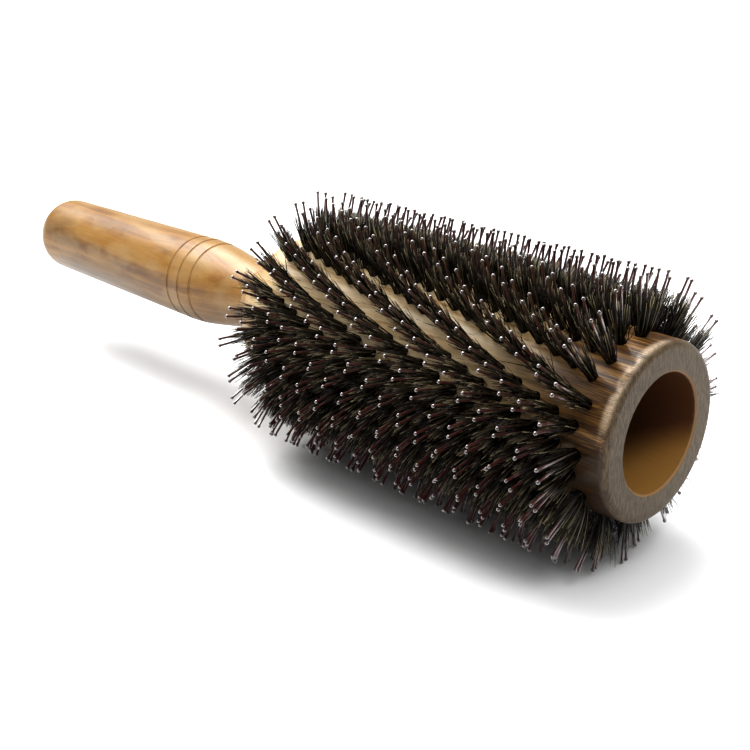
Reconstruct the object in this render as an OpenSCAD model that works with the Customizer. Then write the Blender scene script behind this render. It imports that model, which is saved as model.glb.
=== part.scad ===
// Round barrel brush: a hollow turned barrel on a turned handle, set all round with tufts of boar
// bristle, each tuft holding one folded nylon pin with two ball tips and pinned by a flat wire.
// Origin: centre of the barrel's open front face. +X runs out of the mouth, +Z is up.

/* [Barrel] */
// Outside diameter of the barrel
barrel_d = 42; // [40:1:46]
// Length from the front face to the joint with the handle
barrel_l = 132; // [130:1:140]
// Diameter of the bore
bore_d = 28; // [24:1:28]
// Depth of the bore from the front face
bore_depth = 112; // [100:1:112]
// Length of the rounded shoulder that runs down to the neck
shoulder_l = 17; // [14:1:19]
// Radius of the rounded edge round the front face
edge_r = 1.8; // [1:0.1:2.5]
// Chamfer at the mouth of the bore
mouth_chamfer = 0.4; // [0.2:0.1:0.8]

/* [Handle] */
// Length from the joint to the domed end
handle_l = 108; // [100:1:120]
// Diameter of the neck, where the barrel and the handle meet
neck_d = 19; // [18:0.5:21]
// Diameter at the fullest place of the handle
swell_d = 25; // [23:0.5:27]
// Distance from the joint to the fullest place
swell_at = 27; // [24:1:30]
// Diameter just before the domed end
end_d = 23; // [21:0.5:24]
// Length of the domed end
dome_l = 9; // [7:0.5:11]
// Number of fine turned grooves
grooves = 3; // [0:1:4]
// Distance from the joint to the first groove
groove_at = 20.5; // [20:0.5:22]
// Distance between grooves
groove_pitch = 5; // [3:0.5:6]
// Radius of the tool that turned the grooves
groove_tool_r = 0.55; // [0.4:0.05:0.7]
// Depth of a groove
groove_depth = 0.35; // [0.2:0.05:0.5]
// Diameter of the glued tenon
tenon_d = 12; // [10:0.5:13]
// Length of the tenon
tenon_l = 16; // [12:0.5:17]

/* [Bristles] */
// Number of helical rows
rows = 24; // [24]
// Tufts in one row
tufts = 19; // [8:1:19]
// Distance between tufts along the barrel
tuft_pitch = 5.6; // [5:0.1:5.6]
// Distance from the front face to the first tuft
first_tuft = 7.2; // [6:0.1:7.5]
// How much further back every second row starts
row_stagger = 1.6; // [0:0.1:2]
// Barrel length in which a row turns once round the barrel
helix_lead = 470; // [400:10:800]
// Angle of the first row from the top, at the front face
row_phase = 5.9; // [0:0.1:15]
// Diameter of a tuft hole
hole_d = 2.4; // [2.3:0.1:2.6]
// Depth of a tuft hole
hole_depth = 4.6; // [4.4:0.1:5]
// Diameter of the brush over the ball tips
brush_d = 70; // [62:1:76]
// How far the ball tips stand above the boar bristles
pin_lead = 3.5; // [2:0.5:5]
// Diameter of a tuft at its tip
tuft_tip_d = 3.6; // [3:0.1:4]
// Diameter of the nylon filament
pin_d = 0.54; // [0.4:0.02:0.54]
// Diameter of a ball tip
ball_d = 0.96; // [0.8:0.02:1.1]
// Lean of each leg of a pin from the tuft's axis
pin_lean = 1.8; // [0:0.2:2.6]
// How far the tips that the brush lies on are pressed level
rest_press = 0.3; // [0:0.05:0.4]

/* [Anchor wires] */
// Thickness of the flat wire
wire_t = 0.3; // [0.2:0.05:0.35]
// Height of the wire across the hole
wire_h = 1.3; // [1:0.1:1.6]
// How far each end bites into the wood
wire_bite = 0.2; // [0.1:0.05:0.3]

/* [Hidden] */
$fn = 48;
barrel_r = barrel_d / 2;
bore_r = bore_d / 2;
neck_r = neck_d / 2;
swell_r = swell_d / 2;
end_r = end_d / 2;
hole_r = hole_d / 2;
pin_r = pin_d / 2;
ball_r = ball_d / 2;
curve_steps = 16;
socket_gap = 0.05;        // room for glue round the tenon
socket_end_gap = 0.5;     // room for glue at the tenon's end
tenon_chamfer = 0.8;
hair_gap = 0.03;          // between a tuft and the wood, the pin and the wire
fold_bulge = 0.02;        // how much the filament thickens where it is folded
leg_root = 0.08;          // how far a leg runs into the fold
wire_gap = 0.1;           // between a pin's legs and the wire
room_h = 0.3;             // how far the room for the fold runs up past the fold's centre
over = 1;                 // how far cutting tools run past a face

twist = 360 / helix_lead;                             // degrees round the barrel per mm
helix_angle = atan(barrel_r * twist * PI / 180);      // of a row to the barrel's axis
hole_floor = barrel_r - hole_depth;
bend_r = wire_t / 2 + pin_r + wire_gap;               // of the pin's fold, round the wire
bend_z = hole_floor + bend_r + pin_r + hair_gap;
boar_r = brush_d / 2 - pin_lead;
rest_z = brush_d / 2 - rest_press;                    // how far below the axis the brush lies
wire_l = hole_d + 2 * wire_bite;
row_names = [for (i = [1 : rows]) i < 10 ? str("0", i) : str(i)];
boar_names = [for (n = row_names) str("boar_tufts_row_", n)];
pin_names = [for (n = row_names) str("nylon_pins_row_", n)];

// Points [radius, length] round an arc
function arc(centre, r, from, to) =
    [for (k = [0 : curve_steps])
        let (a = from + (to - from) * k / curve_steps)
            centre + r * [cos(a), sin(a)]];

// A smooth turned curve between two points [radius, length], level at both ends
function turned(a, b) =
    [for (k = [0 : curve_steps])
        let (t = k / curve_steps, blend = (1 - cos(180 * t)) / 2)
            [a[0] + (b[0] - a[0]) * blend, a[1] + (b[1] - a[1]) * t]];

// Where tuft i of a row stands: its place along X, and its angle from the top towards -Y
function tuft_x(row, i) = -(first_tuft + (row % 2) * row_stagger + i * tuft_pitch);
function tuft_angle(row, x) = row_phase + row * 360 / rows + x * twist;

// Length of a pin's leg. side is 1 or -1. The tips under the brush stop at the level that it lies on.
function leg_length(angle, side) =
    let (
        full = (brush_d / 2 - ball_r - bend_z + bend_r * sin(pin_lean)) / cos(pin_lean),
        across = side * cos(helix_angle) * sin(angle),
        start = bend_r * cos(pin_lean) * across + (bend_z - bend_r * sin(pin_lean)) * cos(angle),
        slope = sin(pin_lean) * across + cos(pin_lean) * cos(angle)
    )
        slope < -0.5 ? min(full, (ball_r - rest_z - start) / slope) : full;

// Turns its children, drawn along +Z, to lie along +X
module along_x() {
    rotate([0, 90, 0])
        children();
}

// Places its children, drawn upright with the row along X, at every tuft of a row
module each_tuft(row) {
    for (i = [0 : tufts - 1]) {
        x = tuft_x(row, i);
        $angle = tuft_angle(row, x);
        translate([x, 0, 0])
            rotate([$angle, 0, 0])
                rotate([0, 0, -helix_angle])
                    children();
    }
}

module wire(gap = 0) {
    translate([-wire_l / 2 - gap, -wire_t / 2 - gap, bend_z - gap])
        cube([wire_l + 2 * gap, wire_t + 2 * gap, wire_h + 2 * gap]);
}

module tuft_hole() {
    translate([0, 0, hole_floor])
        cylinder(h = hole_depth + over, r = hole_r);
}

module barrel_profile() {
    mouth = [[bore_r, -bore_depth], [bore_r, -mouth_chamfer], [bore_r + mouth_chamfer, 0]];
    front_edge = arc([barrel_r - edge_r, -edge_r], edge_r, 90, 0);
    shoulder = turned([barrel_r, shoulder_l - barrel_l], [neck_r, -barrel_l]);
    socket_r = tenon_d / 2 + socket_gap;
    socket_end = tenon_l + socket_end_gap - barrel_l;
    socket = [[socket_r, -barrel_l], [socket_r, socket_end], [0, socket_end], [0, -bore_depth]];
    polygon(concat(mouth, front_edge, shoulder, socket));
}

module barrel() {
    color("peru")
        difference() {
            along_x()
                rotate_extrude($fn = 96)
                    barrel_profile();
            for (row = [0 : rows - 1])
                each_tuft(row)
                    tuft_hole();
        }
}

module handle_profile() {
    swell = turned([neck_r, 0], [swell_r, -swell_at]);
    dome = [for (k = [0 : curve_steps])
        let (a = 90 * k / curve_steps)
            [end_r * cos(a), dome_l - handle_l - dome_l * sin(a)]];
    tenon = [
        [0, tenon_l],
        [tenon_d / 2 - tenon_chamfer, tenon_l],
        [tenon_d / 2, tenon_l - tenon_chamfer],
        [tenon_d / 2, 0]
    ];
    polygon(concat(tenon, swell, dome));
}

// Radius of the handle at a distance from the joint, between the neck and the dome
function handle_r(at) =
    at < swell_at
        ? neck_r + (swell_r - neck_r) * (1 - cos(180 * at / swell_at)) / 2
        : swell_r + (end_r - swell_r) * (at - swell_at) / (handle_l - dome_l - swell_at);

module groove(at) {
    ring_r = handle_r(at) + groove_tool_r - groove_depth;
    translate([0, 0, -at])
        rotate_extrude($fn = 96)
            translate([ring_r, 0])
                circle(r = groove_tool_r);
}

module handle() {
    color("burlywood")
        translate([-barrel_l, 0, 0])
            along_x()
                difference() {
                    rotate_extrude($fn = 96)
                        handle_profile();
                    for (i = [0 : 1 : grooves - 1])
                        groove(groove_at + i * groove_pitch);
                }
}

module anchor_wires() {
    color("silver")
        for (row = [0 : rows - 1])
            each_tuft(row)
                wire();
}

// Places its children, drawn along +Z, on the line of a leg, from the end of the fold outwards
module on_leg(side) {
    translate([0, side * bend_r * cos(pin_lean), bend_z - bend_r * sin(pin_lean)])
        rotate([-side * pin_lean, 0, 0])
            children();
}

// One leg of a pin with its ball tip
module leg(side, length) {
    on_leg(side) {
        translate([0, 0, -leg_root])
            cylinder(h = length + leg_root, r = pin_r, $fn = 24);
        translate([0, 0, length])
            sphere(r = ball_r, $fn = 24);
    }
}

// The fold of the filament, under the wire and across the row
module fold() {
    translate([0, 0, bend_z])
        rotate([90, 0, 90])
            rotate([0, 0, 180 + pin_lean])
                rotate_extrude(angle = 180 - 2 * pin_lean, $fn = 24)
                    translate([bend_r, 0])
                        circle(r = pin_r + fold_bulge);
}

module nylon_pins(row) {
    color("maroon")
        each_tuft(row) {
            fold();
            for (side = [-1, 1])
                leg(side, leg_length($angle, side));
        }
}

// One bundle of bristles as a closed body that flares from the hole to its tip
module bundle() {
    stem_r = hole_r - hair_gap;
    tip_r = tuft_tip_d / 2;
    rotate_extrude($fn = 32)
        polygon([
            [0, hole_floor + hair_gap],
            [stem_r, hole_floor + hair_gap],
            [stem_r, barrel_r],
            [tip_r, boar_r],
            [0, boar_r]
        ]);
}

// The room round the fold, where the bristles part
module fold_room() {
    half_l = pin_r + fold_bulge + 2 * hair_gap;
    half_w = bend_r + half_l;
    translate([-half_l, -half_w, hole_floor])
        cube([2 * half_l, 2 * half_w, bend_z + room_h - hole_floor]);
}

module boar_tufts(row) {
    color("darkolivegreen")
        each_tuft(row)
            difference() {
                bundle();
                fold_room();
                wire(hair_gap);
                for (side = [-1, 1])
                    on_leg(side)
                        cylinder(h = brush_d / 2, r = pin_r + hair_gap, $fn = 24);
            }
}

barrel();
handle();
anchor_wires();
for (row = [0 : rows - 1])
    boar_tufts(row);
for (row = [0 : rows - 1])
    nylon_pins(row);
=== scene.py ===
import math

import bpy
import numpy as np
from mathutils import Matrix, Vector


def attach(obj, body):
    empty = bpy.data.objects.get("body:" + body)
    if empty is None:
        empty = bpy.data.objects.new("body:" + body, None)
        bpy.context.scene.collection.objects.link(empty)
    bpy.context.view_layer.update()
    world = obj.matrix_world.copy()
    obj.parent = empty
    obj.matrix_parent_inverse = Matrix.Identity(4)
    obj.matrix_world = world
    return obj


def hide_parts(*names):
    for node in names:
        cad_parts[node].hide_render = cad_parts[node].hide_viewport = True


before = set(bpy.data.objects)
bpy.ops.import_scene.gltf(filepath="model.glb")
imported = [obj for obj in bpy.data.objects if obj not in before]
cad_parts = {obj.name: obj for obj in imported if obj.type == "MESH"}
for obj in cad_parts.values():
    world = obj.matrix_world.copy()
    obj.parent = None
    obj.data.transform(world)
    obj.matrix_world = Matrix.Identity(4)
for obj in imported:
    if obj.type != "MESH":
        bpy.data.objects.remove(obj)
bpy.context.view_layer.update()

MM = 0.001
SEED = 195

# The brush's own sizes in millimetres, as in its CAD source, except that the pins are a little thicker (0.27 there)
BARREL_R = 21.0
BORE_R = 14.0
BORE_DEPTH = 112.0
ROWS = 24
TUFTS = 19
TUFT_PITCH = 5.6
FIRST_TUFT = 7.2
ROW_STAGGER = 1.6
HELIX_LEAD = 470.0
ROW_PHASE = 5.9
HOLE_R = 1.2
BOAR_R = 31.5
BRUSH_R = 35.0
PIN_R = 0.30
BALL_R = 0.48
PIN_LEAN = 1.8
BEND_R = 0.52
BEND_Z = 17.22
REST_Z = 34.7


# ---------- the rows of tufts ----------

def tuft_place(row, i):
    """A tuft's place along the barrel, and its own axes: along the row, across it, and straight out."""
    x = -(FIRST_TUFT + (row % 2) * ROW_STAGGER + i * TUFT_PITCH)
    angle = math.radians(ROW_PHASE + row * 360 / ROWS + x * 360 / HELIX_LEAD)
    helix = math.atan(BARREL_R * 2 * math.pi / HELIX_LEAD)
    out = np.array([0, -math.sin(angle), math.cos(angle)])
    round_it = np.array([0, math.cos(angle), math.sin(angle)])
    lengthwise = np.array([1.0, 0, 0])
    along = math.cos(helix) * lengthwise - math.sin(helix) * round_it
    across = math.sin(helix) * lengthwise + math.cos(helix) * round_it
    return x, along, across, out


def to_brush(x, along, across, out, points):
    """Points given as (along the row, across it, out from the barrel's axis) in the brush's frame."""
    return points @ np.stack([along, across, out]) + np.array([x, 0, 0])


# ---------- thin round strands ----------

# Directions that rings are turned from. Any would do that no strand runs along, so there is one to spare.
RING_GUIDE = (0.83, 0.31, 0.46)
RING_GUIDE_TWO = (0.2, -0.9, 0.39)
TOO_CLOSE = 0.85

# The map OFBake has one column for each tone that a strand can have
TONE_BINS = 32
MAP_INSET = 0.15
MAP_MARGIN = 0.03
CAP_SPREAD = 0.3
CAP_RISE = 0.012
TIP_CAP_V = 0.975


def strand_mesh(name, paths, radii, sides, tone, run):
    """One mesh of closed strands. paths is (strand, point, 3) and radii (strand, point), in millimetres.
    tone, one number a strand, and run, from 0 at the root to 1 at the tip, go along as attributes for the material.
    The map OFBake lays every strand on the column of its tone, so that strands of one colour share their place."""
    count, length = radii.shape
    step = np.gradient(paths, axis=1)
    step /= np.linalg.norm(step, axis=2, keepdims=True)
    guide = np.zeros_like(step)
    guide[:] = RING_GUIDE
    close = np.abs((step * guide).sum(2).mean(1)) > TOO_CLOSE
    guide[close] = RING_GUIDE_TWO
    side_a = np.cross(step, guide)
    side_a /= np.linalg.norm(side_a, axis=2, keepdims=True)
    side_b = np.cross(step, side_a)
    turn = np.arange(sides) * 2 * np.pi / sides
    ring = (
        np.cos(turn)[None, None, :, None] * side_a[:, :, None, :]
        + np.sin(turn)[None, None, :, None] * side_b[:, :, None, :]
    )
    points = paths[:, :, None, :] + radii[:, :, None, None] * ring
    points = points.reshape(-1, 3) * MM

    first = np.arange(count)[:, None, None] * length * sides
    level = np.arange(length - 1)[None, :, None] * sides
    here = np.arange(sides)[None, None, :]
    after = (here + 1) % sides
    quads = np.stack(
        [first + level + here, first + level + sides + here, first + level + sides + after, first + level + after],
        axis=-1,
    ).reshape(-1, 4)
    start = np.arange(count)[:, None] * length * sides
    root_cap = start + np.arange(sides)[None, :]
    tip_cap = start + (length - 1) * sides + np.arange(sides)[::-1][None, :]

    loops = np.concatenate([quads.ravel(), root_cap.ravel(), tip_cap.ravel()])
    sizes = np.concatenate([np.full(len(quads), 4), np.full(2 * count, sides)])
    starts = np.concatenate([[0], np.cumsum(sizes)[:-1]])
    mesh = bpy.data.meshes.new(name)
    mesh.vertices.add(len(points))
    mesh.vertices.foreach_set("co", points.ravel().astype(np.float32))
    mesh.loops.add(len(loops))
    mesh.loops.foreach_set("vertex_index", loops.astype(np.int32))
    mesh.polygons.add(len(sizes))
    mesh.polygons.foreach_set("loop_start", starts.astype(np.int32))
    mesh.update(calc_edges=True)
    mesh.polygons.foreach_set("use_smooth", np.ones(len(sizes), bool))

    tones = np.repeat(tone, length * sides)
    runs = np.repeat(run.reshape(-1), sides)
    for key, values in (("strand_tone", tones), ("strand_run", runs)):
        mesh.attributes.new(key, "FLOAT", "POINT").data.foreach_set("value", values.astype(np.float32))

    column = np.floor(tone * TONE_BINS) / TONE_BINS
    quad_strand = np.repeat(np.arange(count), (length - 1) * sides)
    near = np.tile(np.arange(sides), count * (length - 1)) / sides
    far = near + 1 / sides
    across = np.stack([near, near, far, far], axis=1)
    # Round a strand the map goes across its column, and along a strand it goes up it; the end caps lie past its ends
    quad_u = column[quad_strand][:, None] + (MAP_INSET + (1 - 2 * MAP_INSET) * across) / TONE_BINS
    quad_v = runs[quads] * (1 - 2 * MAP_MARGIN) + MAP_MARGIN
    spot = 0.5 + CAP_SPREAD * np.cos(turn)
    cap_u = column[:, None] + spot[None, :] / TONE_BINS
    lift = CAP_RISE * (1 + np.sin(turn))
    root_v = np.broadcast_to(lift[None, :], (count, sides))
    tip_v = np.broadcast_to(TIP_CAP_V + lift[None, :], (count, sides))
    u = np.concatenate([quad_u.ravel(), cap_u.ravel(), cap_u.ravel()])
    v = np.concatenate([quad_v.ravel(), root_v.ravel(), tip_v.ravel()])
    layer = mesh.uv_layers.new(name="OFBake")
    layer.uv.foreach_set("vector", np.stack([u, v], axis=1).astype(np.float32).ravel())
    return mesh


def add_piece(name, mesh, material, node):
    """A piece that stands for one CAD node and moves with the brush."""
    piece = bpy.data.objects.new(name, mesh)
    bpy.context.scene.collection.objects.link(piece)
    mesh.materials.append(material)
    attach(piece, "root")
    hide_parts(node)


# ---------- boar bristle ----------

HAIRS = 70
HAIR_POINTS = 6
HAIR_SIDES = 3
HAIR_R = 0.125
HAIR_R_LOW = 0.8
HAIR_R_HIGH = 1.2
HAIR_TAPER = 0.55
HAIR_TAPER_POWER = 2.2
HAIR_FLOOR_GAP = 0.1
HOLE_WALL_GAP = 0.16
ROOT_DEPTH = 3.2
# How a tuft's tips stand, in millimetres: in two wings across the row and fanned out along it, each with a blur
WING_BLUR = 0.25
WING_SHIFT = 0.80
TUFT_LEAN = 0.34
FAN = 2.7
FAN_BLUR = 0.40
ACROSS_BLUR = 0.62
# How much of its root's place a tip keeps, and how many hairs stray further than the others, and by what factor
ROOT_TO_TIP_ALONG = 1.6
ROOT_TO_TIP_ACROSS = 0.9
LOOSE_SHARE = 0.07
LOOSE_FACTOR = 2.4
# How far the tips end short of the bristle's outer radius
CUT_BACK = 0.2
CUT_BLUR = 0.75
CUT_TAIL = 0.60
# How a hair bends and waves above its hole
FREE_START = 0.3
BOW_POWER = 1.02
SPREAD_POWER = 0.5
WAVE_HALF_TURNS = 1.6
WAVE_START = 6.28
WAVE_SIZE = 0.11


def row_of_bristle(row, chance):
    """One row's bristle. Each tuft is packed tight in its hole, and fans out in two wings, one round each pin."""
    paths = []
    for i in range(TUFTS):
        frame_here = tuft_place(row, i)
        share = np.sqrt(chance.uniform(0, 1, HAIRS))
        bearing = chance.uniform(0, 2 * np.pi, HAIRS)
        root_r = (HOLE_R - HOLE_WALL_GAP) * share
        root_along = root_r * np.cos(bearing)
        root_across = root_r * np.sin(bearing)
        wing = np.where(root_across + chance.normal(0, WING_BLUR, HAIRS) > 0, 1.0, -1.0)
        lean = chance.normal(0, TUFT_LEAN, 2)
        loose = np.where(chance.uniform(0, 1, HAIRS) < LOOSE_SHARE, LOOSE_FACTOR, 1.0)
        fan = chance.uniform(-FAN, FAN, HAIRS) + chance.normal(0, FAN_BLUR, HAIRS)
        tip_along = root_along * ROOT_TO_TIP_ALONG + lean[0] + fan * loose
        stray = chance.normal(0, ACROSS_BLUR, HAIRS)
        tip_across = wing * WING_SHIFT + root_across * ROOT_TO_TIP_ACROSS + lean[1] + stray * loose
        cut = BOAR_R - CUT_BACK - np.abs(chance.normal(0, CUT_BLUR, HAIRS)) - chance.exponential(CUT_TAIL, HAIRS)
        root_out = BARREL_R - ROOT_DEPTH
        t = np.linspace(0, 1, HAIR_POINTS)[None, :]
        out = root_out + (cut - root_out)[:, None] * t
        # Inside the hole a hair runs straight; above it, it bends away little by little
        free = np.clip((out - BARREL_R + FREE_START) / (BOAR_R - BARREL_R + FREE_START), 0, None)
        bow = free ** BOW_POWER
        spread = free ** SPREAD_POWER
        wave = np.sin(free * np.pi * WAVE_HALF_TURNS + chance.uniform(0, WAVE_START, (HAIRS, 1))) * free
        wave_along = chance.normal(0, WAVE_SIZE, (HAIRS, 1))
        wave_across = chance.normal(0, WAVE_SIZE, (HAIRS, 1))
        at_along = root_along[:, None] + (tip_along - root_along)[:, None] * spread + wave * wave_along
        at_across = root_across[:, None] + (tip_across - root_across)[:, None] * bow + wave * wave_across
        local = np.stack([at_along, at_across, out], axis=2)
        paths.append(to_brush(*frame_here, local))
    paths = np.concatenate(paths)
    # No hair goes below what the brush rests on
    paths[..., 2] = np.maximum(paths[..., 2], -REST_Z + HAIR_FLOOR_GAP)
    count = len(paths)
    run = np.linspace(0, 1, HAIR_POINTS)[None, :].repeat(count, 0)
    thick = HAIR_R * chance.uniform(HAIR_R_LOW, HAIR_R_HIGH, count)
    radii = thick[:, None] * (1 - HAIR_TAPER * run ** HAIR_TAPER_POWER)
    tone = (chance.integers(0, TONE_BINS, count) + 0.5) / TONE_BINS
    return paths, radii, tone, run


# ---------- nylon pins ----------

LEG_POINTS = 7
BEND_POINTS = 7
BALL_POINTS = 6
PIN_SIDES = 8
# Where a ball's first ring lies, as an angle from its top
BALL_START = 0.06
# How unevenly the pins stand, in millimetres: short of the brush's radius, along the row and across it
PIN_SHORT = 0.16
PIN_STRAY_ALONG = 0.42
PIN_STRAY_ACROSS = 0.30
PIN_STRAY_POWER = 1.5


def row_of_pins(row, chance):
    """The pins of one row. Each is one filament: out of its ball, down a leg, round under the anchor and up again."""
    paths = []
    radii = []
    runs = []
    neck = math.asin(PIN_R / BALL_R)
    for i in range(TUFTS):
        place = tuft_place(row, i)
        legs = []
        for sign in (1, -1):
            lean = math.radians(PIN_LEAN)
            foot = np.array([0, sign * BEND_R * math.cos(lean), BEND_Z - BEND_R * math.sin(lean)])
            way = np.array([0, sign * math.sin(lean), math.cos(lean)])
            longest = (BRUSH_R - BALL_R - foot[2]) / way[2]
            reach = min(longest + chance.normal(0, PIN_SHORT), longest)
            t = np.linspace(0, 1, LEG_POINTS)[:, None]
            height = foot[2] + (way[2] * reach) * t
            free = np.clip((height - BARREL_R) / (BRUSH_R - BARREL_R), 0, None) ** PIN_STRAY_POWER
            shift = np.array([chance.normal(0, PIN_STRAY_ALONG), chance.normal(0, PIN_STRAY_ACROSS), 0])
            legs.append(foot + way * reach * t + free * shift)
        turn = np.linspace(0, math.pi, BEND_POINTS + 2)[1:-1, None]
        bend_low = BEND_Z - BEND_R * math.sin(lean) - BEND_R * np.sin(turn)
        bend = np.concatenate([0 * turn, BEND_R * np.cos(turn), bend_low], axis=1)
        inner = np.concatenate([legs[0][::-1], bend, legs[1]])
        # The ball at either end is the filament's own end, widened and closed
        cap = np.linspace(BALL_START, math.pi - neck, BALL_POINTS)
        head = legs[0][-1] - legs[0][-2]
        head /= np.linalg.norm(head)
        tail = legs[1][-1] - legs[1][-2]
        tail /= np.linalg.norm(tail)
        ball_a = legs[0][-1] + head * (BALL_R * np.cos(cap))[:, None]
        ball_b = legs[1][-1] + tail * (BALL_R * np.cos(cap))[::-1][:, None]
        shank = inner[1:-1]
        line = np.concatenate([ball_a, shank, ball_b])
        width = np.concatenate([BALL_R * np.sin(cap), np.full(len(shank), PIN_R), BALL_R * np.sin(cap)[::-1]])
        up = np.clip((line[:, 2] - BEND_Z) / (BRUSH_R - BEND_Z), 0, 1)
        paths.append(to_brush(*place, line))
        radii.append(width)
        runs.append(up)
    paths = np.stack(paths)
    radii = np.stack(radii)
    # No pin goes below what the brush rests on
    paths[..., 2] = np.maximum(paths[..., 2], -REST_Z + radii)
    tone = (chance.integers(0, TONE_BINS, len(paths)) + 0.5) / TONE_BINS
    return paths, radii, tone, np.stack(runs)


# ---------- node materials ----------

class Nodes:
    """A material's node tree, with one short call for each kind of node."""

    def __init__(self, name):
        self.material = bpy.data.materials.new(name)
        self.material.use_nodes = True
        self.tree = self.material.node_tree
        self.shader = self.tree.nodes["Principled BSDF"]

    def put(self, kind, inputs=(), **settings):
        """A new node. inputs gives its sockets a value or a link, and settings its other properties."""
        node = self.tree.nodes.new(kind)
        for key, value in settings.items():
            setattr(node, key, value)
        for key, value in dict(inputs).items():
            self.give(node.inputs[key], value)
        return node

    def give(self, socket, value):
        if isinstance(value, bpy.types.NodeSocket):
            self.tree.links.new(value, socket)
        else:
            socket.default_value = value

    def place(self, scale=(1, 1, 1), shift=(0, 0, 0)):
        """The point's own place in the brush's frame, in millimetres, stretched by scale."""
        coordinates = self.put("ShaderNodeTexCoord")
        mapping = self.put("ShaderNodeMapping", {"Vector": coordinates.outputs["Object"]})
        mapping.inputs["Scale"].default_value = [s / MM for s in scale]
        mapping.inputs["Location"].default_value = shift
        return mapping.outputs[0]

    def parts(self, vector):
        split = self.put("ShaderNodeSeparateXYZ", {0: vector})
        return split.outputs

    def join(self, x, y, z):
        return self.put("ShaderNodeCombineXYZ", {0: x, 1: y, 2: z}).outputs[0]

    def maths(self, operation, a, b=0.0):
        return self.put("ShaderNodeMath", {0: a, 1: b}, operation=operation).outputs[0]

    def plus(self, a, b):
        return self.maths("ADD", a, b)

    def minus(self, a, b):
        return self.maths("SUBTRACT", a, b)

    def times(self, a, b):
        return self.maths("MULTIPLY", a, b)

    def distance(self, a, b):
        """How far a point is from the axis, when a and b are its two offsets from it."""
        return self.maths("SQRT", self.plus(self.times(a, a), self.times(b, b)))

    def sway(self, value, size):
        """A noise value turned into a shift of up to half of size either way."""
        return self.times(self.minus(value, 0.5), size)

    def noise(self, vector, scale=1.0, detail=3.0, roughness=0.5, distortion=0.0):
        inputs = {"Vector": vector, "Scale": scale, "Detail": detail, "Roughness": roughness}
        inputs["Distortion"] = distortion
        return self.put("ShaderNodeTexNoise", inputs).outputs["Fac"]

    def between(self, value, start, end, to_start=0.0, to_end=1.0):
        """A smooth step from to_start, where value is start, to to_end, where it is end. start may be larger."""
        inputs = {0: value, 1: start, 2: end, 3: to_start, 4: to_end}
        return self.put("ShaderNodeMapRange", inputs, interpolation_type="SMOOTHSTEP").outputs[0]

    def ramp(self, value, stops):
        """A colour ramp. stops are (position, colour), lowest first."""
        node = self.put("ShaderNodeValToRGB", {0: value})
        band = node.color_ramp
        band.elements[0].position = stops[0][0]
        band.elements[0].color = (*stops[0][1], 1)
        band.elements[1].position = stops[-1][0]
        band.elements[1].color = (*stops[-1][1], 1)
        for position, colour in stops[1:-1]:
            band.elements.new(position).color = (*colour, 1)
        return node.outputs[0]

    def mix(self, share, a, b, blend="MIX"):
        node = self.put("ShaderNodeMix", data_type="RGBA", blend_type=blend)
        for key, value in ((0, share), (6, a), (7, b)):
            if isinstance(value, tuple):
                value = (*value, 1)
            self.give(node.inputs[key], value)
        return node.outputs[2]

    def fade(self, share, a, b):
        """A number that goes from a to b with share."""
        return self.put("ShaderNodeMix", {0: share, 2: a, 3: b}).outputs[0]

    def shaded(self, colour, shade):
        """A colour made lighter or darker by the factor shade."""
        return self.mix(1.0, colour, self.join(shade, shade, shade), blend="MULTIPLY")

    def surface(self, **values):
        """Gives the shader's own sockets their values. The names are the sockets', with _ for each space."""
        for key, value in values.items():
            self.give(self.shader.inputs[key.replace("_", " ")], value)

    def attribute(self, name):
        return self.put("ShaderNodeAttribute", attribute_name=name).outputs["Fac"]

    def bump(self, height, strength, distance):
        inputs = {"Height": height, "Strength": strength, "Distance": distance}
        return self.put("ShaderNodeBump", inputs).outputs[0]


def grain(nodes, pith, ring_scale, wander):
    """Lengthwise wood grain: uneven growth rings round a pith beside the brush's axis, the fibres and the pores."""
    drift = nodes.noise(nodes.place((0.020, 0.07, 0.07)), detail=2)
    drift = nodes.sway(drift, wander)
    x, y, z = nodes.parts(nodes.place())
    y = nodes.plus(nodes.minus(y, pith[0]), drift)
    z = nodes.plus(nodes.minus(z, pith[1]), drift)
    ring = nodes.distance(y, z)
    ring = nodes.join(nodes.times(ring, ring_scale), nodes.times(x, 0.006), 0.0)
    bands = nodes.noise(ring, scale=1.0, detail=4, roughness=0.62)
    fibre = nodes.noise(nodes.place((0.09, 5.0, 5.0)), detail=3, roughness=0.6)
    pores = nodes.noise(nodes.place((0.33, 4.2, 4.2), (3, 7, 1)), detail=1)
    return bands, fibre, pores


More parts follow.
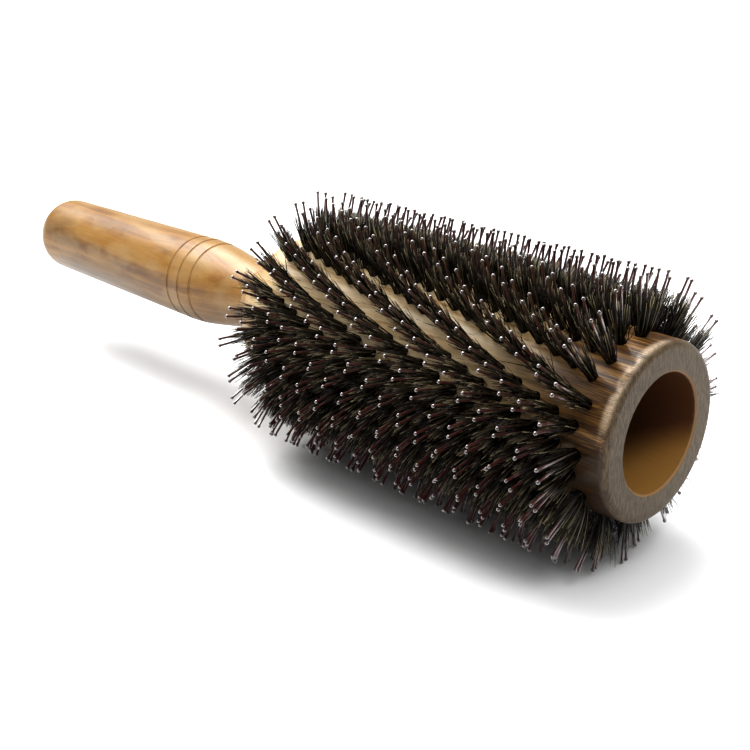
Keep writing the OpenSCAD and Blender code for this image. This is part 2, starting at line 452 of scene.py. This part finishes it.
def barrel_material():
    nodes = Nodes("barrel_wood_turned")
    bands, fibre, pores = grain(nodes, (-31.0, -24.0), 0.62, 9.0)
    x, y, z = nodes.parts(nodes.place())
    radius = nodes.distance(y, z)
    side = nodes.ramp(
        bands,
        [
            (0.30, (0.034, 0.015, 0.005)),
            (0.42, (0.095, 0.043, 0.012)),
            (0.50, (0.205, 0.100, 0.026)),
            (0.60, (0.340, 0.182, 0.052)),
            (0.72, (0.145, 0.064, 0.017)),
        ],
    )
    cut = nodes.ramp(
        bands,
        [
            (0.28, (0.038, 0.021, 0.007)),
            (0.50, (0.062, 0.039, 0.016)),
            (0.72, (0.092, 0.065, 0.033)),
        ],
    )
    # The bore is smooth bare wood with painted light and shade: a golden painted pool of light low down by the mouth,
    # and dark red-brown painted shade above and deeper in
    reach = nodes.minus(z, nodes.times(x, 0.45))
    bare_wood_and_painted_light = nodes.mix(nodes.between(reach, 0.0, -9.0), (0.075, 0.026, 0.008), (0.270, 0.140, 0.034))
    facing = nodes.between(x, -1.5, -0.35)
    inside = nodes.between(radius, BORE_R + 0.42, BORE_R + 0.05)
    inside = nodes.times(inside, nodes.between(x, -BORE_DEPTH - 1.5, -BORE_DEPTH - 0.5))
    # Away from the front edge the wood is pale
    honey = nodes.ramp(
        bands,
        [
            (0.30, (0.380, 0.220, 0.080)),
            (0.42, (0.560, 0.400, 0.200)),
            (0.60, (0.680, 0.540, 0.340)),
        ],
    )
    side = nodes.mix(nodes.between(x, -6.0, -48.0), side, honey)
    # Painted shade: the shoulder is darker than the side, though not as dark as the handle's neck
    shoulder_painted_shade = nodes.ramp(
        bands,
        [
            (0.30, (0.130, 0.062, 0.017)),
            (0.45, (0.250, 0.135, 0.038)),
            (0.60, (0.330, 0.195, 0.070)),
        ],
    )
    side = nodes.mix(nodes.between(x, -110.0, -122.0, 0.0, 0.85), side, shoulder_painted_shade)
    # Painted shade: the barrel's lower side is darkened, with a noisy upper edge, fading out toward the shoulder
    lower_painted_shade = nodes.noise(nodes.place((0.018, 0.09, 0.09), (2, 8, 4)), detail=3)
    lower_painted_shade = nodes.plus(z, nodes.sway(lower_painted_shade, 26.0))
    lower_painted_shade = nodes.times(nodes.between(lower_painted_shade, 12.0, -3.0), nodes.between(x, -138.0, -90.0))
    side = nodes.mix(nodes.times(lower_painted_shade, 0.90), side, (0.022, 0.011, 0.005))
    # Near the front edge the colour is darkened in streaks along the fibres: the stain's own streaks in part, painted
    # shade in part
    edge = nodes.times(nodes.between(x, -12.0, -1.5), nodes.between(fibre, 0.60, 0.42, 0.25, 1.0))
    side = nodes.mix(nodes.times(edge, 0.90), side, (0.030, 0.014, 0.005))
    # A few wide dark streaks run into the front edge: wood streaks in part, painted shade in part
    dark_line = nodes.noise(nodes.place((0.04, 1.1, 1.1), (6, 3, 2)), detail=2)
    dark_line = nodes.times(nodes.between(dark_line, 0.53, 0.62), nodes.between(x, -22.0, -6.0))
    side = nodes.mix(nodes.times(dark_line, 0.8), side, (0.022, 0.010, 0.004))
    # A painted highlight: the front's rounded edge is painted pale on its upper side toward -Y, broken up by noise
    upper = nodes.minus(nodes.times(z, 0.84), nodes.times(y, 0.54))
    edge_painted_highlight = nodes.times(nodes.between(x, -3.4, -2.0), nodes.between(upper, 13.0, 19.0))
    highlight_breakup = nodes.noise(nodes.place((0.35, 0.30, 0.30), (5, 1, 6)), detail=3)
    edge_painted_highlight = nodes.times(edge_painted_highlight, nodes.between(highlight_breakup, 0.30, 0.62))
    side = nodes.mix(nodes.times(edge_painted_highlight, 0.8), side, (0.420, 0.330, 0.230))
    # Painted shade: the cut face is browner and darker toward -Y
    cut = nodes.mix(nodes.between(y, 8.0, -16.0, 0.0, 0.6), cut, (0.036, 0.019, 0.006))
    colour = nodes.mix(facing, side, cut)
    colour = nodes.mix(inside, colour, bare_wood_and_painted_light)
    streak = nodes.between(fibre, 0.34, 0.66, 0.62, 1.14)
    smooth = nodes.between(x, -8.0, -40.0, 0.0, 0.65)
    streak = nodes.fade(smooth, streak, 1.0)
    streak = nodes.fade(nodes.times(inside, 0.9), streak, 1.0)
    colour = nodes.shaded(colour, streak)
    # The end grain shows short upright marks
    marks = nodes.noise(nodes.place((1.0, 2.2, 0.40)), detail=5, roughness=0.8)
    marks = nodes.times(nodes.between(marks, 0.42, 0.62), facing)
    colour = nodes.mix(nodes.times(marks, 0.6), colour, (0.150, 0.112, 0.066))
    # The small chamfer round the bore is bare wood
    lip_ring = nodes.between(radius, BORE_R + 0.44, BORE_R + 0.34)
    lip = nodes.times(nodes.between(x, -0.55, -0.40), lip_ring)
    colour = nodes.mix(nodes.times(lip, 0.7), colour, (0.240, 0.140, 0.060))
    pore = nodes.times(nodes.between(pores, 0.36, 0.27), nodes.between(inside, 1.0, 0.0))
    colour = nodes.mix(nodes.times(pore, 0.75), colour, (0.030, 0.014, 0.007))
    nodes.surface(Base_Color=colour)
    gloss = nodes.between(fibre, 0.3, 0.7, 0.44, 0.30)
    gloss = nodes.plus(gloss, nodes.times(facing, 0.14))
    gloss = nodes.plus(gloss, nodes.times(inside, 0.20))
    nodes.surface(
        Roughness=gloss,
        Specular_IOR_Level=0.26,
        Coat_Weight=0.12,
        Coat_Roughness=0.28,
    )
    height = nodes.minus(fibre, nodes.times(pore, 0.8))
    nodes.surface(Normal=nodes.bump(height, 0.45, 0.00006))
    return nodes.material


def handle_material():
    nodes = Nodes("handle_wood_turned")
    bands, fibre, pores = grain(nodes, (-17.0, 12.0), 0.30, 10.0)
    patch = nodes.noise(nodes.place((0.05, 0.14, 0.14), (9, 2, 5)), detail=3, roughness=0.55)
    bands = nodes.plus(nodes.times(bands, 0.62), nodes.times(patch, 0.38))
    colour = nodes.ramp(
        bands,
        [
            (0.34, (0.110, 0.050, 0.013)),
            (0.43, (0.175, 0.084, 0.021)),
            (0.50, (0.255, 0.133, 0.034)),
            (0.58, (0.290, 0.166, 0.052)),
            (0.70, (0.225, 0.122, 0.034)),
        ],
    )
    streak = nodes.between(fibre, 0.32, 0.68, 0.88, 1.06)
    colour = nodes.shaded(colour, streak)
    # Pale marbled patches
    marble = nodes.noise(nodes.place((0.075, 0.13, 0.13), (2, 5, 8)), detail=4, roughness=0.5, distortion=0.4)
    marble = nodes.between(marble, 0.47, 0.62)
    colour = nodes.mix(nodes.times(marble, 0.34), colour, (0.320, 0.225, 0.110))
    # Painted shade: the handle's lower side is greyer and darker, with a noisy upper edge
    handle_lower_shade = nodes.noise(nodes.place((0.030, 0.11, 0.11), (4, 4, 9)), detail=3)
    handle_lower_shade = nodes.plus(nodes.parts(nodes.place())[2], nodes.sway(handle_lower_shade, 20.0))
    handle_lower_shade = nodes.between(handle_lower_shade, 1.0, -9.0)
    colour = nodes.mix(nodes.times(handle_lower_shade, 0.78), colour, (0.092, 0.060, 0.036))
    pore = nodes.between(pores, 0.35, 0.26)
    colour = nodes.mix(nodes.times(pore, 0.30), colour, (0.080, 0.038, 0.014))
    nodes.surface(
        Base_Color=colour,
        Roughness=nodes.between(fibre, 0.3, 0.7, 0.42, 0.30),
        Specular_IOR_Level=0.36,
        Coat_Weight=0.14,
        Coat_Roughness=0.3,
    )
    height = nodes.minus(fibre, nodes.times(pore, 0.8))
    nodes.surface(Normal=nodes.bump(height, 0.35, 0.00005))
    return nodes.material


def bristle_material():
    nodes = Nodes("boar_bristle_natural")
    tone = nodes.attribute("strand_tone")
    run = nodes.attribute("strand_run")
    dark = nodes.ramp(
        run,
        [
            (0.20, (0.002, 0.0015, 0.001)),
            (0.62, (0.005, 0.0035, 0.002)),
            (1.00, (0.011, 0.008, 0.004)),
        ],
    )
    pale = nodes.ramp(
        run,
        [
            (0.22, (0.010, 0.008, 0.004)),
            (0.45, (0.056, 0.045, 0.024)),
            (0.80, (0.180, 0.148, 0.084)),
            (1.00, (0.350, 0.295, 0.185)),
        ],
    )
    share = nodes.between(tone, 0.70, 0.97)
    colour = nodes.mix(share, dark, pale)
    band = nodes.noise(nodes.join(nodes.times(tone, 40.0), nodes.times(run, 7.0), 0.0))
    shade = nodes.between(band, 0.3, 0.7, 0.75, 1.25)
    colour = nodes.shaded(colour, shade)
    nodes.surface(
        Base_Color=colour,
        Roughness=0.25,
        Specular_IOR_Level=0.24,
    )
    return nodes.material


def pin_material():
    nodes = Nodes("nylon_pin_translucent")
    tone = nodes.attribute("strand_tone")
    run = nodes.attribute("strand_run")
    colour = nodes.ramp(
        run,
        [
            (0.35, (0.010, 0.003, 0.002)),
            (0.72, (0.034, 0.005, 0.004)),
            (0.93, (0.075, 0.007, 0.006)),
            (0.97, (0.050, 0.019, 0.016)),
        ],
    )
    speck = nodes.noise(nodes.join(nodes.times(tone, 30.0), nodes.times(run, 9.0), 0.0))
    shade = nodes.between(speck, 0.3, 0.7, 0.7, 1.25)
    colour = nodes.shaded(colour, shade)
    nodes.surface(
        Base_Color=colour,
        Roughness=0.32,
        Specular_IOR_Level=0.34,
        Transmission_Weight=0.42,
    )
    return nodes.material


def wire_material():
    nodes = Nodes("anchor_wire_flat")
    scratch = nodes.noise(nodes.place((6.0, 6.0, 1.2)), detail=3)
    colour = nodes.ramp(scratch, [(0.3, (0.36, 0.34, 0.31)), (0.7, (0.62, 0.60, 0.57))])
    nodes.surface(
        Base_Color=colour,
        Metallic=1.0,
        Roughness=nodes.between(scratch, 0.3, 0.7, 0.28, 0.45),
        Normal=nodes.bump(scratch, 0.3, 0.00002),
    )
    return nodes.material


def floor_material():
    nodes = Nodes("studio_floor")
    nodes.surface(
        Base_Color=(0.69, 0.69, 0.693, 1),
        Roughness=0.75,
        Specular_IOR_Level=0.2,
    )
    return nodes.material


# ---------- the brush ----------

SOLIDS = {"barrel": barrel_material(), "handle": handle_material(), "anchor_wires": wire_material()}
for node_name, solid_material in SOLIDS.items():
    for material_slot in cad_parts[node_name].material_slots:
        material_slot.material = solid_material

BRISTLE = bristle_material()
PIN = pin_material()
for row_number in range(ROWS):
    label = f"row_{row_number + 1:02d}"
    dice = np.random.default_rng(SEED + row_number)
    paths, radii, tone, run = row_of_bristle(row_number, dice)
    bristle_mesh = strand_mesh("boar_" + label, paths, radii, HAIR_SIDES, tone, run)
    add_piece("boar_" + label, bristle_mesh, BRISTLE, "boar_tufts_" + label)
    paths, radii, tone, run = row_of_pins(row_number, dice)
    pin_mesh = strand_mesh("pins_" + label, paths, radii, PIN_SIDES, tone, run)
    add_piece("pins_" + label, pin_mesh, PIN, "nylon_pins_" + label)


# ---------- the studio ----------

CAMERA_AT = Vector((0.13289, -0.22085, 0.11332))
CAMERA_RIGHT = Vector((0.70703, 0.70718, 0.0))
CAMERA_FORWARD = Vector((-0.65712, 0.65699, -0.36953))
CAMERA_LENS = 60.58
CAMERA_SENSOR = 36
CAMERA_NEAR = 0.01

camera_data = bpy.data.cameras.new("camera")
camera_data.lens = CAMERA_LENS
camera_data.sensor_width = CAMERA_SENSOR
camera_data.clip_start = CAMERA_NEAR
camera = bpy.data.objects.new("camera", camera_data)
bpy.context.scene.collection.objects.link(camera)
back = -CAMERA_FORWARD.normalized()
right = CAMERA_RIGHT.normalized()
up = back.cross(right)
camera.matrix_world = Matrix.Translation(CAMERA_AT) @ Matrix((right, up, back)).transposed().to_4x4()
bpy.context.scene.camera = camera

FLOOR_HALF = 6.0
floor_mesh = bpy.data.meshes.new("studio_floor")
corner_signs = [(-1, -1), (1, -1), (1, 1), (-1, 1)]
floor_corners = [(x * FLOOR_HALF, y * FLOOR_HALF, -REST_Z * MM) for x, y in corner_signs]
floor_mesh.from_pydata(floor_corners, [], [(0, 1, 2, 3)])
floor_mesh.materials.append(floor_material())
floor = bpy.data.objects.new("studio_floor", floor_mesh)
bpy.context.scene.collection.objects.link(floor)

# The studio's walls are white up to a little above the floor's far edge, and the room above them is dim
WALL_LIGHT = 0.80
WALL_TOP = 0.14
ROOM_LIGHT = 0.12
ROOM_START = 0.26

world = bpy.data.worlds.new("studio")
world.use_nodes = True
sky = world.node_tree.nodes
sky_place = sky.new("ShaderNodeTexCoord")
sky_split = sky.new("ShaderNodeSeparateXYZ")
sky_wall = sky.new("ShaderNodeMapRange")
sky_wall.inputs["From Min"].default_value = ROOM_START
sky_wall.inputs["From Max"].default_value = WALL_TOP
sky_wall.inputs["To Min"].default_value = ROOM_LIGHT
sky_wall.inputs["To Max"].default_value = WALL_LIGHT
world.node_tree.links.new(sky_place.outputs["Generated"], sky_split.inputs[0])
world.node_tree.links.new(sky_split.outputs["Z"], sky_wall.inputs["Value"])
world.node_tree.links.new(sky_wall.outputs[0], sky["Background"].inputs["Strength"])
sky["Background"].inputs["Color"].default_value = (1, 1, 1, 1)
bpy.context.scene.world = world


def wide_light(name, toward, angle, energy):
    """A light from very far away that shines along toward, and is angle degrees across."""
    data = bpy.data.lights.new(name, "SUN")
    data.energy = energy
    data.angle = math.radians(angle)
    lamp = bpy.data.objects.new(name, data)
    bpy.context.scene.collection.objects.link(lamp)
    lamp.rotation_euler = Vector(toward).to_track_quat("-Z", "Y").to_euler()


wide_light("light_ceiling", toward=(0.0, -0.05, -1.0), angle=110, energy=3.0)
wide_light("light_behind", toward=(0.55, -0.10, -1.0), angle=50, energy=4.2)
wide_light("light_front", toward=(-0.45, 0.15, -0.90), angle=22, energy=1.0)

# The photograph has more contrast than a plain display gives, so the picture is a little brighter and harder
VIEW_EXPOSURE = 0.25
VIEW_GAMMA = 0.82
bpy.context.scene.view_settings.view_transform = "Standard"
bpy.context.scene.view_settings.exposure = VIEW_EXPOSURE
bpy.context.scene.view_settings.gamma = VIEW_GAMMA
